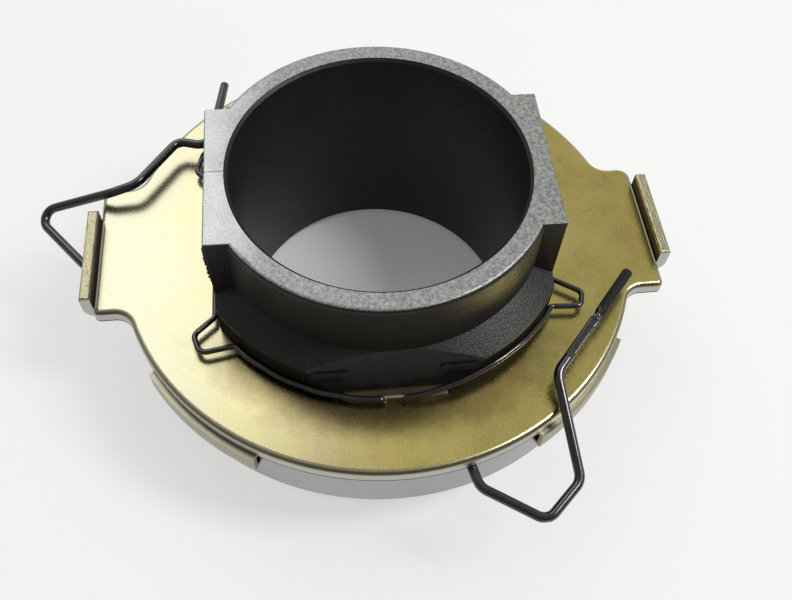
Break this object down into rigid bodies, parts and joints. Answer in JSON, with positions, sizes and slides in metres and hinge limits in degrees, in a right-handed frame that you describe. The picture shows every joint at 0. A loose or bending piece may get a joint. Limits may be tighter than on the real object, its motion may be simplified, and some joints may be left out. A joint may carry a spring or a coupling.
{
  "type": "clutch release bearing",
  "caption": "Clutch release bearing: a moulded guide sleeve clipped to a pressed plate with fork ears and wire springs, over a cup that holds a self-centring ball bearing.",
  "frame": {"origin": "on the sleeve's bore axis, at the top face of the thrust plate, where the clutch fork pushes", "axes": "+Z along the bore, from the clutch fingers towards the gearbox; X through the two fork ears"},
  "size_m": [0.1511, 0.1332, 0.058],
  "materials": {
    "moulded_black": "glass-filled, fine grain, slight sheen",
    "passivated_plate": "yellow zinc passivate, satin, mottled",
    "spring_wire": "black oxide, oiled",
    "drawn_steel": "smooth drawn steel",
    "clamp_steel": "zinc plated",
    "spring_steel": "tempered",
    "race_steel": "ground",
    "shield_steel": "pressed sheet",
    "ball_steel": "polished",
    "cage_plastic": "natural polyamide"
  },
  "bodies": {
    "carrier": {"guide_sleeve": "moulded_black", "thrust_plate": "passivated_plate", "sleeve_clip": "spring_wire", "fork_spring_right": "spring_wire", "fork_spring_left": "spring_wire", "bearing_cup": "drawn_steel", "bearing_clamp_1": "clamp_steel", "bearing_clamp_2": "clamp_steel", "bearing_clamp_3": "clamp_steel", "bearing_clamp_4": "clamp_steel"},
    "washer": {"disc_spring": "spring_steel"},
    "bearing": {"outer_ring": "race_steel", "upper_shield": "shield_steel", "lower_seal": "shield_steel"},
    "contact": {"contact_ring": "race_steel"},
    "cage": {"ball_cage": "cage_plastic", "ball_01": "ball_steel", "ball_02": "ball_steel", "ball_03": "ball_steel", "ball_04": "ball_steel", "ball_05": "ball_steel", "ball_06": "ball_steel", "ball_07": "ball_steel", "ball_08": "ball_steel", "ball_09": "ball_steel", "ball_10": "ball_steel", "ball_11": "ball_steel", "ball_12": "ball_steel", "ball_13": "ball_steel", "ball_14": "ball_steel", "ball_15": "ball_steel", "ball_16": "ball_steel", "ball_17": "ball_steel", "ball_18": "ball_steel", "ball_19": "ball_steel", "ball_20": "ball_steel", "ball_21": "ball_steel", "ball_22": "ball_steel"}
  },
  "joints": [
    {"name": "float_y", "type": "slide", "parent": "carrier", "child": "washer", "axis": [0, 1, 0], "range_m": [-0.0008, 0.0008]},
    {"name": "float_x", "type": "slide", "parent": "washer", "child": "bearing", "axis": [1, 0, 0], "range_m": [-0.0008, 0.0008]},
    {"name": "contact_spin", "type": "hinge", "parent": "bearing", "child": "contact", "pos_m": [0, 0, -0.0113], "axis": [0, 0, 1], "continuous": true},
    {"name": "cage_spin", "type": "hinge", "parent": "bearing", "child": "cage", "pos_m": [0, 0, -0.0113], "axis": [0, 0, 1], "continuous": true}
  ],
  "couplings": [
    {"joint": "cage_spin", "follows": "contact_spin", "ratio": 0.4583}
  ]
}
